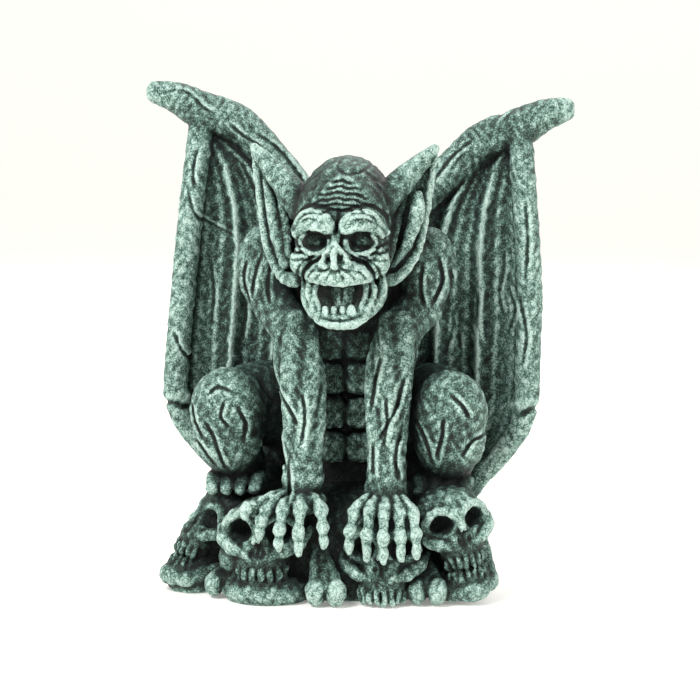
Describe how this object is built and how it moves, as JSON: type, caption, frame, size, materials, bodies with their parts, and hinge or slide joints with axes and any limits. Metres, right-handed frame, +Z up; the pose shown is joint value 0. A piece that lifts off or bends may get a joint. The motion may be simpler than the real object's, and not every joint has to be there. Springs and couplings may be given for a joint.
{
  "type": "garden gargoyle",
  "caption": "Cast-stone winged gargoyle crouching with both hands on a mound of skulls and bones; stands on its flat underside.",
  "frame": {"origin": "centre of the flat underside of the mound", "axes": "+Z up out of the floor, -Y towards the viewer that the face looks at, +X to the right of that viewer"},
  "size_m": [0.2638, 0.1565, 0.3017],
  "materials": {
    "stone": "dark verdigris wash in the hollows, pale mint dry-brushed on the raised parts, slight satin"
  },
  "bodies": {
    "root": {"gargoyle": "stone"}
  },
  "joints": []
}
